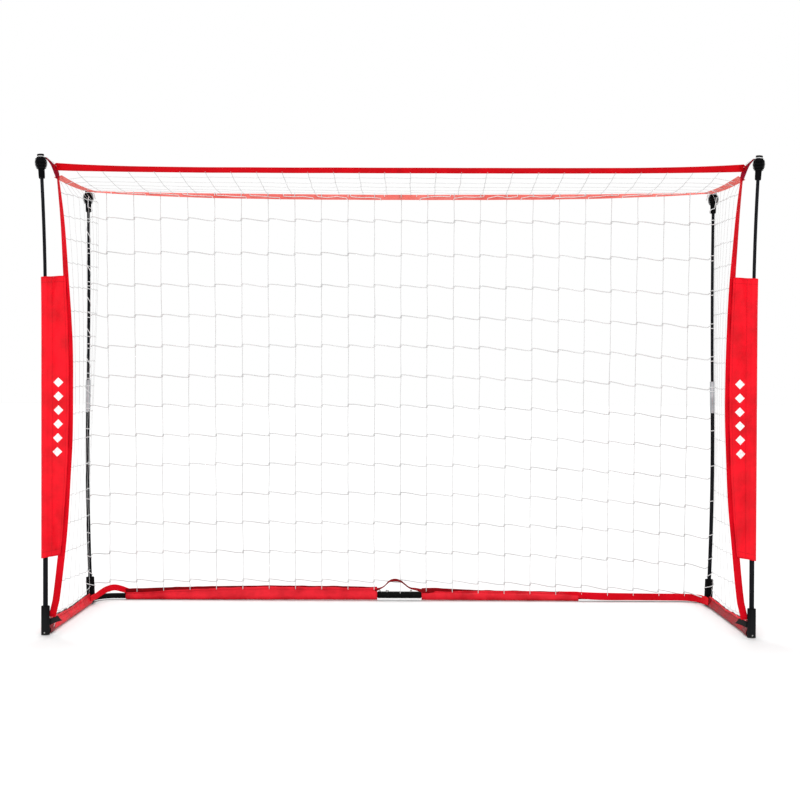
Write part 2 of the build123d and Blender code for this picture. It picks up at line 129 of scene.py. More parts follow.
def web_x(z):
    """Distance of the side webbing's middle line from the goal's middle: waisted, as the net pulls it in."""
    waist_z = (web_low + web_high) / 2
    share = (z - waist_z) / (web_high - waist_z)
    reach = 31 * MM if share > 0 else 40 * MM
    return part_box("side_webbing_right")[0].x + 10 * MM + reach * share * share


# ---- materials
class Nodes:
    """A short way to write a material's node tree."""

    def __init__(self, name):
        self.material = bpy.data.materials.new(name)
        self.material.use_nodes = True
        self.tree = self.material.node_tree
        self.shader = self.tree.nodes["Principled BSDF"]

    def put(self, socket, value):
        """Links a socket, or sets a plain value."""
        if isinstance(value, bpy.types.NodeSocket):
            self.tree.links.new(value, socket)
        else:
            socket.default_value = value

    def add(self, kind, inputs=None, **settings):
        node = self.tree.nodes.new(kind)
        for key, value in settings.items():
            setattr(node, key, value)
        for key, value in (inputs or {}).items():
            self.put(node.inputs[key], value)
        return node

    def math(self, operation, a, b=0):
        return self.add("ShaderNodeMath", {0: a, 1: b}, operation=operation).outputs[0]

    def times(self, a, b):
        return self.math("MULTIPLY", a, b)

    def wave(self, value, period):
        return self.math("SINE", self.times(value, tau / period))

    def noise(self, scale, detail=4, stretch=None, rough=0.55):
        vector = self.add("ShaderNodeTexCoord").outputs["Object"]
        if stretch:
            vector = self.add("ShaderNodeMapping", {"Vector": vector, "Scale": stretch}).outputs[0]
        inputs = {"Vector": vector, "Scale": scale, "Detail": detail, "Roughness": rough}
        return self.add("ShaderNodeTexNoise", inputs).outputs["Fac"]

    def ramp(self, value, low, high, start=0.3, end=0.7):
        node = self.add("ShaderNodeValToRGB", {"Fac": value})
        for element, place, colour in zip(node.color_ramp.elements, (start, end), (low, high)):
            element.position = place
            element.color = (*colour, 1)
        return node.outputs["Color"]

    def range(self, value, low, high, start=0.3, end=0.7):
        inputs = {"Value": value, "From Min": start, "From Max": end, "To Min": low, "To Max": high}
        return self.add("ShaderNodeMapRange", inputs).outputs["Result"]

    def mix(self, factor, a, b):
        a, b = (c if isinstance(c, bpy.types.NodeSocket) else (*c, 1) for c in (a, b))
        node = self.add("ShaderNodeMix", {0: factor, 6: a, 7: b}, data_type="RGBA")
        return node.outputs[2]

    def bump(self, height, distance, strength, under=None):
        inputs = {"Height": height, "Distance": distance, "Strength": strength}
        if under:
            inputs["Normal"] = under
        return self.add("ShaderNodeBump", inputs).outputs["Normal"]

    def build(self, base, layers, bumps, rough, specular=0.5, **settings):
        """A base ramp, layers over it (a range's values or a factor, then a colour), bumps from the lowest
        up, and roughness as a range."""
        colour, normal = self.ramp(*base), None
        for *values, over in layers:
            factor = self.range(*values) if len(values) > 1 else values[0]
            colour = self.mix(factor, colour, over)
        for bump in bumps:
            normal = self.bump(*bump, normal)
        settings["Specular_IOR_Level"] = specular
        return self.set(Base_Color=colour, Roughness=self.range(*rough), Normal=normal, **settings)

    def set(self, **inputs):
        for key, value in inputs.items():
            self.put(self.shader.inputs[key.replace("_", " ")], value)
        return self.material


def uv_parts(n):
    """A piece's own cloth coordinates, in millimetres: across and along."""
    split = n.add("ShaderNodeSeparateXYZ", {"Vector": n.add("ShaderNodeUVMap").outputs[0]})
    return split.outputs["X"], split.outputs["Y"]


def shade(colour, factor, more=0):
    return tuple(min(1, c * factor + more) for c in colour)


def cloth(name, light, dark, marks=False):
    """Coated plain-weave polyester: crossing threads, slubs, soft creases darkened by painted shade where
    they sink, and random lighter patches.
    """
    n = Nodes(name)
    across, along = uv_parts(n)
    weave = n.times(n.wave(across, THREAD), n.wave(along, THREAD))
    crease = n.noise(22, 5)
    # random lighter patches, then darker thread crossings
    layers = [(n.noise(5, 2), 0, 0.35, 0.4, 0.75, shade(light, 1.25, 0.01)), (weave, 0, 0.22, -1, 1, dark)]
    if marks:
        level = n.math("SUBTRACT", along, MARK_ALONG)
        row = n.math("ABSOLUTE", n.math("SUBTRACT", n.math("FRACT", n.times(level, 1 / MARK_PITCH)), 0.5))
        column = n.math("ABSOLUTE", n.math("SUBTRACT", across, MARK_ACROSS))
        inside = n.math("LESS_THAN", n.math("ADD", n.times(row, MARK_PITCH), column), MARK_SIZE)
        inside = n.times(inside, n.math("LESS_THAN", n.math("ABSOLUTE", level), 3 * MARK_PITCH))
        layers.append((n.times(inside, n.range(n.noise(160, 3), 0.75, 1, 0.35, 0.5)), MARK_COLOUR))
    bumps = (weave, 0.00012, 0.5), (n.noise(90, 3, (1, 1, 14)), 0.0002, 0.5), (crease, 0.0035, 0.8)
    # painted shade: the base colour follows the crease noise, darker where the creases sink
    return n.build((crease, dark, light, 0.32, 0.62), layers, bumps, (crease, 0.42, 0.6), 0.14,
                   Sheen_Weight=0.1, Sheen_Roughness=0.45, Sheen_Tint=(*shade(light, 1.1, 0.02), 1))


def webbing(name, light, dark):
    """Woven strap: slanting ribs in a herringbone, lengthwise lines and fine fuzz."""
    n = Nodes(name)
    across, along = uv_parts(n)
    slant = n.math("ADD", along, n.times(n.math("ABSOLUTE", across), 0.8))
    weave = n.math("ADD", n.wave(slant, 1.6), n.times(n.wave(across, 1.1), 0.6))
    fuzz = n.noise(700, 3)
    layers = ((weave, 0.3, 0, -1.2, 0.4, shade(dark, 0.45)),)
    bumps = (weave, 0.00022, 0.7), (fuzz, 0.0003, 0.35)
    return n.build((n.noise(14, 4), dark, light, 0.3, 0.66), layers, bumps, (fuzz, 0.6, 0.85),
                   0.08, Sheen_Weight=0.15, Sheen_Tint=(*shade(light, 1.1, 0.02), 1))


def twine(name, light, dark):
    """Braided net cord: strands that wind round it, with soft fibre noise and a little dirt."""
    n = Nodes(name)
    around, along = uv_parts(n)
    around, along = n.times(around, 2 * tau), n.times(along, 1.9)
    strands = n.math("MAXIMUM", *(n.math("SINE", n.math(way, around, along)) for way in ("ADD", "SUBTRACT")))
    dirt = n.noise(9, 5)
    bumps = (strands, 0.0003, 0.8), (n.noise(2600, 2), 0.0001, 0.4)
    return n.build((dirt, dark, light, 0.3, 0.6), ((strands, 0.45, 0, 0, 0.8, shade(dark, 0.6)),), bumps,
                   (dirt, 0.7, 0.9), 0.15)


def moulded(name, colour, worn):
    """Moulded plastic: fine spark texture, flow marks, and paler rubbed edges and scuffs."""
    n = Nodes(name)
    flow = n.noise(35, 4, (1, 1, 0.4))
    scuff = n.noise(60, 8, (1, 1, 3), rough=0.75)
    edge = n.add("ShaderNodeNewGeometry").outputs["Pointiness"]
    layers = (edge, 0, 0.5, 0.52, 0.6, worn), (scuff, 0, 0.5, 0.62, 0.74, worn)
    bumps = (n.noise(1400, 3), 0.0002, 0.4), (flow, 0.0006, 0.25)
    return n.build((flow, shade(colour, 0.7), colour), layers, bumps, (scuff, 0.45, 0.65), 0.015)


def powder_coat(name, colour, worn):
    """Powder-coated steel: orange peel, patches of paler dust and small chips."""
    n = Nodes(name)
    dust = n.noise(14, 6)
    chips = n.noise(150, 6, rough=0.7)
    bumps = (n.noise(520, 2), 0.0003, 0.35), (n.range(chips, 0, 1, 0.69, 0.72), -0.0002, 0.4)
    layers = ((chips, 0, 0.6, 0.71, 0.74, worn),)
    return n.build((dust, colour, shade(colour, 2, 0.002), 0.35, 0.8), layers, bumps, (dust, 0.32, 0.5), 0.02)


def glass_fibre(name, colour):
    """Glass-fibre rod: fine streaks along it under a clear resin skin, rubbed in places."""
    n = Nodes(name)
    fibre = n.noise(900, 3, (1, 1, 0.012))
    rub = n.noise(26, 6, (1, 1, 0.35))
    layers = ((rub, 0, 0.25, 0.58, 0.75, (0.03, 0.032, 0.038)),)
    return n.build((fibre, shade(colour, 0.6), shade(colour, 1.9, 0.003), 0.35, 0.72), layers,
                   ((fibre, 0.0002, 0.3),), (rub, 0.22, 0.42), 0.015)


def drawn_steel(name, colour, stretch=(1, 1, 0.02)):
    """Bare drawn steel: fine lines, slight stain and duller finger marks."""
    n = Nodes(name)
    lines = n.noise(1500, 3, stretch)
    stain = n.noise(30, 6)
    layers = ((lines, 0.25, 0, 0.3, 0.7, shade(colour, 0.5)),)
    return n.build((stain, shade(colour, 0.62), colour, 0.3, 0.62), layers, ((lines, 0.0001, 0.35),),
                   (stain, 0.26, 0.46), Metallic=1.0)


def rubber_feet(name):
    """Soft black plug plastic, dull and dusty."""
    n = Nodes(name)
    dust = n.noise(70, 6)
    return n.build((dust, (0.012, 0.012, 0.012), (0.05, 0.048, 0.045), 0.35, 0.75), (),
                   ((n.noise(900), 0.0003, 0.4),), (dust, 0.6, 0.85))


THREAD = 0.7                  # pitch of the cloth's threads, in millimetres
MARK_PITCH, MARK_SIZE = 36, 12.5   # the plain diamonds on the pole wraps
MARK_COLOUR = (0.86, 0.84, 0.83)
MARK_ACROSS, MARK_ALONG = 27, (flap_low + flap_high) / 2 / MM
flap_cloth = cloth("flap_cloth", (0.8, 0.001, 0.012), (0.56, 0, 0.006), marks=True)
wrap_cloth = cloth("wrap_cloth", (0.76, 0.012, 0.026), (0.46, 0.001, 0.008))
# darker red lining for the wraps' inner side: painted shade inside the folded wrap
shaded_inner_cloth = cloth("shaded_inner_cloth", (0.34, 0.001, 0.007), (0.17, 0, 0.003))
# darker red webbing for the rear hem's middle: painted shade inside the wraps and over the coupler
shaded_hem_web = webbing("shaded_hem_web", (0.27, 0, 0.003), (0.13, 0, 0.001))
crimson_web = webbing("crimson_web", (0.66, 0, 0.006), (0.5, 0, 0.003))
scarlet_web = webbing("scarlet_web", (0.76, 0.001, 0.012), (0.6, 0, 0.006))
salmon_web = webbing("salmon_web", (0.86, 0.21, 0.18), (0.78, 0.12, 0.1))
dark_cloth = cloth("dark_cloth", (0.22, 0.001, 0.006), (0.12, 0, 0.003))
# dark maroon webbing for the front corner fold: painted shade on the twisted strap
shaded_fold_web = webbing("shaded_fold_web", (0.3, 0.004, 0.02), (0.16, 0.002, 0.012))
net_twine = twine("net_twine", (0.75, 0.75, 0.75), (0.6, 0.6, 0.6))
lacing_twine = twine("lacing_twine", (0.88, 0.88, 0.88), (0.76, 0.76, 0.76))
stitch_thread = twine("stitch_thread", (0.5, 0.01, 0.02), (0.3, 0, 0.01))
black_cloth = cloth("black_cloth", (0.012, 0.012, 0.013), (0.004, 0.004, 0.004))
black_plastic = moulded("black_moulding", (0.004, 0.004, 0.0045), (0.022, 0.022, 0.024))
black_coat = powder_coat("black_powder_coat", (0.003, 0.003, 0.003), (0.16, 0.155, 0.15))
pole_black = glass_fibre("black_glass_fibre", (0.006, 0.0065, 0.008))
ferrule_steel = drawn_steel("ferrule_steel", (0.5, 0.51, 0.53))
stud_steel = drawn_steel("stud_steel", (0.55, 0.54, 0.53), (1, 1, 1))
plug_rubber = rubber_feet("plug_plastic")


def finish_cad_nodes():
    """Better materials for the CAD nodes that stay in view. The last kind that a name begins with counts."""
    finishes = (
        (black_coat, "base_tube", "rear_coupler"),
        (black_plastic, "front_socket", "rear_socket", "front_cap", "rear_cap"),
        (plug_rubber, "foot_plug"),
        (pole_black, "front_pole", "rear_pole"),
        (ferrule_steel, "front_ferrule", "rear_ferrule"),
        (stud_steel, "front_socket_p", "rear_socket_rivets", "snap_", "coupler_rivet"),
    )
    for name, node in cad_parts.items():
        found = [material for material, *kinds in finishes if name.startswith(tuple(kinds))]
        if found:
            node.data.materials.clear()
            node.data.materials.append(found[-1])


# ---- mesh builders
def spread(start, span, count):
    """Evenly spaced values from start to start + span."""
    return [start + span * k / count for k in range(count + 1)]


def along_path(path, share):
    """The place at a share of a path of evenly spaced points."""
    place = min(max(share, 0), 1) * (len(path) - 1)
    i = min(int(place), len(path) - 2)
    return path[i].lerp(path[i + 1], place - i)


class Builder:
    """Collects points, faces and cloth coordinates for one piece."""

    def __init__(self):
        self.points, self.faces, self.uvs = [], [], []

    def grid(self, rows, uv_rows, tube=False):
        """Faces between rows of points. A tube's rows are rings, and its ends are capped."""
        base, width = len(self.points), len(rows[0])
        for row in rows:
            self.points.extend(row)
        for i in range(len(rows) - 1):
            a, b = base + i * width, base + (i + 1) * width
            for j in range(width if tube else width - 1):
                k = (j + 1) % width
                self.faces.append((a + j, a + k, b + k, b + j))
                self.uvs.append((uv_rows[i][j], uv_rows[i][j + 1], uv_rows[i + 1][j + 1], uv_rows[i + 1][j]))
        if tube:
            for i, order in ((0, -1), (len(rows) - 1, 1)):
                self.faces.append(tuple([base + i * width + j for j in range(width)][::order]))
                self.uvs.append((uv_rows[i][0],) * width)

    def cord(self, points, radius, sides=5):
        """A round cord along a list of points."""
        p = np.array([tuple(q) for q in points], float)
        forward = np.gradient(p, axis=0)
        forward /= np.linalg.norm(forward, axis=1)[:, None]
        side = np.cross(forward[0], (0.31, 0.22, 0.92))
        side /= np.linalg.norm(side)
        step = np.linalg.norm(np.diff(p, axis=0), axis=1)
        length = np.concatenate([[0], np.cumsum(step)]) / MM
        angles = np.arange(sides) * tau / sides
        rows, uv_rows = [], []
        for i, ahead in enumerate(forward):
            side = side - ahead * (side @ ahead)
            side /= np.linalg.norm(side)
            other = np.cross(ahead, side)
            ring = p[i] + radius * (np.outer(np.cos(angles), side) + np.outer(np.sin(angles), other))
            rows.append([tuple(q) for q in ring])
            uv_rows.append([(j / sides, length[i]) for j in range(sides + 1)])
        self.grid(rows, uv_rows, tube=True)

    def band(self, stations, thickness):
        """A woven band: each station is its centre and the vector from there to one edge."""
        rows, uv_rows, run = [], [], 0.0
        profile = [(-1, 0), (-0.96, 0.8), (-0.88, 1), (-0.3, 1), (0.3, 1), (0.88, 1), (0.96, 0.8), (1, 0)]
        profile += [(a, -b) for a, b in profile[-2:0:-1]]
        for i, (centre, half) in enumerate(stations):
            ahead = stations[min(i + 1, len(stations) - 1)][0] - stations[max(i - 1, 0)][0]
            if i:
                run += (centre - stations[i - 1][0]).length / MM
            normal = ahead.cross(half).normalized() * thickness / 2
            rows.append([tuple(centre + half * a + normal * b) for a, b in profile])
            width = half.length / MM
            uv_rows.append([(width * a, run) for a, _ in [*profile, profile[0]]])
        self.grid(rows, uv_rows, tube=True)

    def stitches(self, path, length, first, last, pitch=4.4 * MM, radius=0.32 * MM):
        """Short thread stitches on a path of this length, between two distances along it."""
        count = max(2, int(abs(last - first) / pitch))
        for i in range(count):
            ends = [first + (last - first) * (i + t) / count for t in (0.18, 0.82)]
            a, b = (along_path(path, t / length) for t in ends)
            self.cord([a, a.lerp(b, 0.5), b], radius, 4)

    def piece(self, name, material, slot, node=None, where=None, body="frame"):
        """The piece, with the CAD node that it replaces, and the body that it rides on unless where is given.
        slot is not used.
        """
        mesh = bpy.data.meshes.new(name)
        mesh.from_pydata([tuple(p) for p in self.points], [], self.faces)
        flat = [c for face in self.uvs for uv in face for c in uv]
        mesh.uv_layers.new(name="UVMap").data.foreach_set("uv", flat)
        mesh.materials.append(material)
        mesh.polygons.foreach_set("use_smooth", [True] * len(mesh.polygons))
        piece = bpy.data.objects.new(name, mesh)
        bpy.context.scene.collection.objects.link(piece)
        mesh.validate()
        if node:
            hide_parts(node)
        if where:
            follow(piece, *where)
        else:
            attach(piece, body)
        return piece


def cloth_sheet(rows, uv_rows, name, material, thick, slot, node, lining=None, **says):
    b = Builder()
    b.grid(rows, uv_rows)
    piece = b.piece(name, material, slot, node)
    shell = piece.modifiers.new("thickness", "SOLIDIFY")
    shell.thickness = thick
    shell.offset = 0.0
    if lining:
        piece.data.materials.append(lining)
        shell.material_offset = 1


# ---- soft pieces' places
foot_z = side_tube_z + 20 * MM


def follow(piece, end, side, plane):
    """Bakes a soft piece's place into its mesh."""
    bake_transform(piece)


# ---- net
TWINE = 1 * MM           # radius of the back net's columns and of the lacing
ROW = 1.7 * MM             # radius of the back net's rows
WRAP = 1.7 * MM            # radius of a knot's turns
KNOT = 7 * MM            # height of a knot
THIN = 0.38 * MM           # radius of the side nets' columns
COUPLER_REACH = 0.066      # the red band leaves the rear bar open this far from the middle
COLUMNS = 23
COLUMN_STEP = 78.6 * MM
MIDDLE_COLUMN = 11
MESH_SHIFT = -8.5 * MM
BACK_ROWS = 13
SIDE_ROWS = 17
SIDE_COLUMNS = 7
SIDE_LOWEST = 50 * MM      # lowest crossing of the side nets, clear of the wraps
SIDE_TOP = 1.19            # highest point of the side nets at the rear poles
ROOF_ROWS = 5
ROOF_COLUMNS = 26
ROOF_MIDDLE = (ROOF_COLUMNS - 1) / 2


def column_x(i):
    x = MESH_SHIFT + (i - MIDDLE_COLUMN) * COLUMN_STEP
    return x + 11 * MM * (1 - (x / post_x) ** 2)


def shake(amount=1.3 * MM):
    return random.uniform(-amount, amount)


def knotted_row(builder, knots, tie_first, tie_last):
    """One cord along a row of knots: it comes in low, winds round the crossing cord, and leaves high."""
    path = []
    for i, knot in enumerate(knots):
        ahead = (knots[min(i + 1, len(knots) - 1)] - knots[max(i - 1, 0)]).normalized()
        rise = (UP - ahead * (UP @ ahead)).normalized()
        out = ahead.cross(rise)
        if (i > 0 or tie_first) and (i < len(knots) - 1 or tie_last):
            for k in range(11):
                turn = pi + 3 * pi * k / 10
                offset = ahead * cos(turn) + out * sin(turn)
                path.append(knot + rise * KNOT * (k / 10 - 0.5) + offset * WRAP)
        else:
            path.append(knot)
        if i + 1 < len(knots):
            span = knots[i + 1] - knot
            sag = span.length * random.uniform(0, 0.02)
            for k in (0.08, 0.2, 0.35, 0.5, 0.65, 0.8, 0.92):
                drop = cos(pi * k**1.15) * KNOT * 0.56 - sin(pi * k) * sag
                path.append(knot + span * k + rise * drop)
    builder.cord(path, ROW)


def plain_row(builder, points, rise, radius):
    """A light cord from crossing to crossing, high on the left of each span and low on its right."""
    path = []
    for i, point in enumerate(points[:-1]):
        span = points[i + 1] - point
        for k in (0, 0.12, 0.35, 0.65, 0.9):
            path.append(point + span * k + rise * cos(pi * k) * KNOT * 0.4)
    builder.cord([*path, points[-1] - rise * KNOT * 0.4], radius)


def crossing_cord(builder, points, extra=(), radius=TWINE):
    """The cord that the rows are tied to, with slight bends."""
    path = []
    for i, point in enumerate(points):
        path.append(point)
        if i + 1 < len(points):
            path.append(point.lerp(points[i + 1], 0.5) + vec(shake(0.8 * MM), shake(0.4 * MM), 0))
    builder.cord([*path, *extra], radius)


def back_surface(x, z):
    """The back net's surface, from the rear hem up and forward to the back top strap."""
    share = (z - foot_z) / (back_top_z - foot_z)
    belly = 6 * MM * sin(pi * share) * cos(x / post_x * pi / 2)
    return vec(x, rear_y - 5 * MM + (back_top_y - rear_y + 5 * MM) * share + belly, z)


def back_row_z(k, x):
    """Height of back row k: the rows are wider apart near the top and arch a little."""
    fall = 88 * k + 28.5 * (1 - exp(-k / 1.7))
    arch = 6 - (12 if x < 0 else 37) * x * x
    return (1137 - fall - 6 * x / post_x + arch * min(1, k / 4)) * MM


def hem_top_z(x):
    """Top edge of the red band along the rear bar."""
    if x < 0:
        share = clamp((x + 0.83) / 0.5)
        return (31 + 12 * share * (2 - share) - 3 * max(0, (x + 0.33) / 0.33)) * MM
    bump = 4 * exp(-(((x - 0.11) / 0.05) ** 2))
    return (35 + bump - 8 * min(1, x / 0.54)) * MM


def strap_z(x, low=False):
    """Back top strap's edges: it lies flat near the poles and hangs upright in the middle."""
    share = min(1, abs(x) / 0.893)
    if low:
        return back_top_z + (-24 + 18 * share**3) * MM
    return back_top_z + (-7 + 7 * share**2) * MM


def back_tucks(x):
    """Where a back column goes in over the red band, or round the coupler in the middle."""
    if abs(x) > COUPLER_REACH:
        face, top = (12.2 if x > 0.55 or x < -0.83 else 5.2) * MM, hem_top_z(x)
        places = ((0, 2.5), (2, -2), (2.6, -6), (1.6, -9))
    else:
        face, top, places = 0, coupler.z, ((11.5, 12), (12, 6))
    return [vec(x, rear_y - face - out * MM, top + rise * MM) for out, rise in places]


def make_back_net():
    grid = {}
    for i in range(COLUMNS):
        for k in range(BACK_ROWS):
            x = column_x(i)
            grid[i, k] = back_surface(x + shake(), back_row_z(k, x) + shake())
    for side, s in SIDES.items():
        b = Builder()
        columns = range(MIDDLE_COLUMN + 1) if s < 0 else range(MIDDLE_COLUMN, COLUMNS)
        for i in columns if s < 0 else columns[1:]:
            x = column_x(i)
            top = back_surface(x, strap_z(x) + 0.5 * MM)
            over = top + mm(0, -3, 1)
            down = back_surface(x, strap_z(x, True)) + mm(0, -3.4, 0)
            crossing_cord(b, [down, over, top, *[grid[i, k] for k in range(BACK_ROWS)]], back_tucks(x))
        for k in range(BACK_ROWS):
            row = [grid[i, k] for i in columns]
            tie = pole_at("rear", side, row[0 if s < 0 else -1].z) - vec(s * (5.6 + 1.5) * MM, 0, 0)
            knotted_row(b, [tie, *row] if s < 0 else [*row, tie], tie_first=s > 0, tie_last=s < 0)
        node = "net_back" if s < 0 else None
        b.piece(f"net_back_{side}", net_twine, "white_cord", node, ("rear", side, "back"))


def roof_point(k, share):
    """A place on roof cord k. The cords fan out a little towards the back."""
    place = (k - ROOF_MIDDLE) / ROOF_MIDDLE
    x = -5 * MM + place * (829 + (877 - 829) * share) * MM
    front = crossbar_top - 20 * MM
    back = strap_z(x) - 2 * MM
    sag = 8 * MM * sin(pi * share)
    y = front_y + 2 * MM + (back_top_y - front_y - 4 * MM) * share
    return vec(x, y, front + (back - front) * share - sag)


def make_roof_net():
    grid = {}
    for k in range(ROOF_COLUMNS):
        for i in range(ROOF_ROWS):
            grid[k, i] = roof_point(k, (i + 1) / (ROOF_ROWS + 1)) + vec(shake(), shake(), shake(0.6 * MM))
    split, half = ROOF_ROWS // 2, ROOF_COLUMNS // 2
    for side, s in SIDES.items():
        columns = range(half) if s < 0 else range(half, ROOF_COLUMNS)
        for end in ("front", "rear"):
            b = Builder()
            rows = range(split + 1) if end == "front" else range(split, ROOF_ROWS)
            for k in columns:
                points = [grid[k, i] for i in rows]
                points = [roof_point(k, 0), *points] if end == "front" else [*points, roof_point(k, 1)]
                crossing_cord(b, points, radius=0.85 * MM)
            for i in rows if end == "front" else rows[1:]:
                row = [grid[k, i] for k in (columns if s > 0 else range(half + 1))]
                edge = side_strap_point(side, row[0 if s < 0 else -1].y)
                plain_row(b, [edge, *row] if s < 0 else [*row, edge], vec(0, 0.2, 0.3), 0.6 * MM)
            node = "net_roof" if end == "front" and s < 0 else None
            b.piece(f"net_roof_{end}_{side}", net_twine, "white_cord", node, (end, side, "roof"))


def side_strap_point(side, y):
    """Middle line of a side top strap, from the mouth's corner up to the rear pole's cap."""
    share = (y - front_y) / (rear_pole_y - front_y)
    z = (1188 + 30 * min(1, share) - 5 * sin(pi * min(1, share))) * MM
    return vec(SIDES[side] * (884 + 22 * share) * MM, y, z)


def side_strap_half(side, y):
    """Half width of that strap, as a vector: upright at the mouth, and leaning over towards the back."""
    share = min(1, max(0, (y - front_y) / (rear_pole_y - front_y)))
    lean = radians(75 + 12 * share if side == "left" else 62 + 20 * share)
    return vec(-SIDES[side] * sin(lean), 0, cos(lean)) * WEB_HALF


def side_row_z(k, share):
    front = 1145 - 58 * k - 0.61 * k * k
    rear = 1188 - 62.1 * k - 0.70 * k * k
    return (front + (rear - front) * share) * MM


def side_surface(side, z, share):
    """The side net's surface: waisted at the mouth, nearly straight at the rear pole."""
    s = SIDES[side]
    z = max(z, 30 * MM)
    front_x = web_x(min(z, web_high)) - 3 * MM
    rear = pole_at("rear", side, min(z, SIDE_TOP))
    if s < 0:
        rear_x = abs(rear.x) - 26 * MM * clamp((z - 0.2) / 0.8)
    else:
        rear_x = abs(rear.x) + 8 * MM
    y = front_y + 4 * MM + (rear_pole_y + 8 * MM - front_y) * share
    belly = 7 * MM * sin(pi * share)
    return vec(s * (front_x + (rear_x - front_x) * share - belly), y, z)


def make_side_net(side, s):
    split = SIDE_COLUMNS // 2
    shares = [(i + 1) / (SIDE_COLUMNS + 0.6) for i in range(SIDE_COLUMNS)]
    grid = {}
    for i, share in enumerate(shares):
        for k in range(SIDE_ROWS):
            z = max(side_row_z(k, share), SIDE_LOWEST) + shake()
            grid[i, k] = side_surface(side, z, share + shake(0.003))
    rows = [k for k in range(SIDE_ROWS) if side_row_z(k, shares[split]) > 36 * MM]
    for end in ("front", "rear"):
        b = Builder()
        columns = range(split + 1) if end == "front" else range(split, SIDE_COLUMNS)
        for i in columns if end == "front" else columns[1:]:
            y = grid[i, 0].y
            top = side_strap_point(side, y) - side_strap_half(side, y) * 0.9
            foot = vec(s * post_x, y, side_wrap_top(y) - 4 * MM)
            crossing_cord(b, [top, *[grid[i, k] for k in rows]], [foot], THIN)
        for k in rows:
            row = [grid[i, k] for i in columns]
            if end == "front":
                row = [side_surface(side, max(side_row_z(k, 0), 45 * MM), 0) + mm(0, -2, 0), *row]
            else:
                row = [*row, side_surface(side, max(side_row_z(k, 1), SIDE_LOWEST), 1)]
            plain_row(b, row, UP * 0.5, 0.95 * MM)
        if end == "rear":
            b.cord([side_surface(side, z, 1) for z in np.linspace(40 * MM, SIDE_TOP, 40)], THIN)
        node = f"net_side_{side}" if end == "front" else None
        b.piece(f"net_side_{end}_{side}", net_twine, "white_cord", node, (end, side, "side"))


def make_pole_lacing(side, s):
    """The side net's edge cord: it runs up behind each rear pole and takes quick turns round it."""
    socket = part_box(f"rear_socket_{side}")[1].z + 2 * MM
    ferrule_low, ferrule_high = (p.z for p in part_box(f"rear_ferrule_{side}"))
    cap_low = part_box(f"rear_cap_{side}")[0].z - 2 * MM

    def clear(z):
        """Radius that clears the socket, the pole, the ferrule or the cap at a height."""
        if z < socket:
            return 14.4 * MM
        if z > cap_low:
            return (9.6 + 7.8 * min(1, (z - cap_low) / (25 * MM))) * MM
        if ferrule_low - 3 * MM < z < ferrule_high + 3 * MM:
            return 8.6 * MM
        return (7.1 if z < ferrule_low else 5.9) * MM

    def place(z, turn):
        """A place round the pole. Turns are counted from straight behind it."""
        r = clear(z)
        turn += pi / 2
        return pole_at("rear", side, z) + vec(s * r * cos(turn), r * sin(turn), 0)

    ties = [(0.058, 22), (0.092, 24), (0.14, 16), (0.21, 14)]
    ties += [(0.31 + 0.104 * i, random.uniform(4, 8)) for i in range(3)]
    for z in sorted(back_row_z(k, s * post_x) for k in range(BACK_ROWS)):
        if z > LACED_FROM:
            ties += [(z - 5 * MM, 3), (z + random.uniform(7, 11) * MM, 3)]
    ties = [tie for tie in ties if tie[0] < cap_low - 8 * MM]
    path = [place(0.04, 0)]
    for i, (z, height) in enumerate(ties):
        path += [place(z + height * MM * (k / 16 - 0.5), tau * k / 16) for k in range(17)]
        ahead = ties[min(i + 1, len(ties) - 1)][0] - z
        if s < 0 and z > LACED_FROM - 10 * MM and ahead > 50 * MM:
            path += [place(z + ahead * (0.14 + 0.72 * k / 12), tau * k / 12) for k in range(1, 12)]
    for k in range(13):
        turn = pi * min(1, k / 4) + 0.3 * s * (k / 12)
        path.append(place(cap_low + (1.204 - cap_low) * k / 12, turn))
    b = Builder()
    b.cord(path, 1.05 * MM)
    b.piece(f"pole_lacing_{side}", lacing_twine, "white_cord", None, ("rear", side, "side"))


# ---- straps
WEB_HALF = 10.5 * MM       # half the width of the webbing
BACK_STRAP_END = 0.905     # where the back strap meets the rear poles
LACED_FROM = 0.56          # the rear poles are tied at each row above this height
def strap(name, stations, thickness, material, slot, node=None, where=None):
    b = Builder()
    b.band(stations, thickness)
    b.piece(name, material, slot, node, where)


def make_crossbar(side, s):
    """Front top strap: a band folded over the roof net's edge, upright at its ends, rolled back mid-way."""
    outer, inner = [], []
    for x in spread(0, s * corner_x, 60):
        share = abs(x) / corner_x
        top = crossbar_top + (-9 + 11 * share**6) * MM
        low = crossbar_top + (-22 + 5 * share**4) * MM
        ripple = 0.7 * MM * noise(vec(x * 9, 3.1, 0))
        half = 10 * MM
        up = min(half, (top - low) / 2)
        lean = sqrt(max(0, half * half - up * up)) * 0.75
        centre = vec(x, front_y + ripple, (top + low) / 2 + ripple * 0.6)
        outer.append((centre, vec(0, -lean, up)))
        inner.append((centre + mm(0, 2.4, -0.5), vec(0, -lean * 0.6, up * 0.9)))
    where = ("front", side, "back")
    b = Builder()
    b.band(outer, 1.1 * MM)
    b.band(inner, 1.1 * MM)
    b.piece(f"crossbar_{side}", crimson_web, "crimson_webbing", "crossbar_strap" if s < 0 else None, where)
    lines = Builder()
    for height in (-0.72, 0.7):
        path = [c + h * height - mm(0, 0.75, 0) for c, h in outer]
        lines.stitches(path, corner_x, 0, corner_x, 5 * MM, 0.3 * MM)
    lines.piece(f"crossbar_stitches_{side}", stitch_thread, "crimson_webbing", None, where)


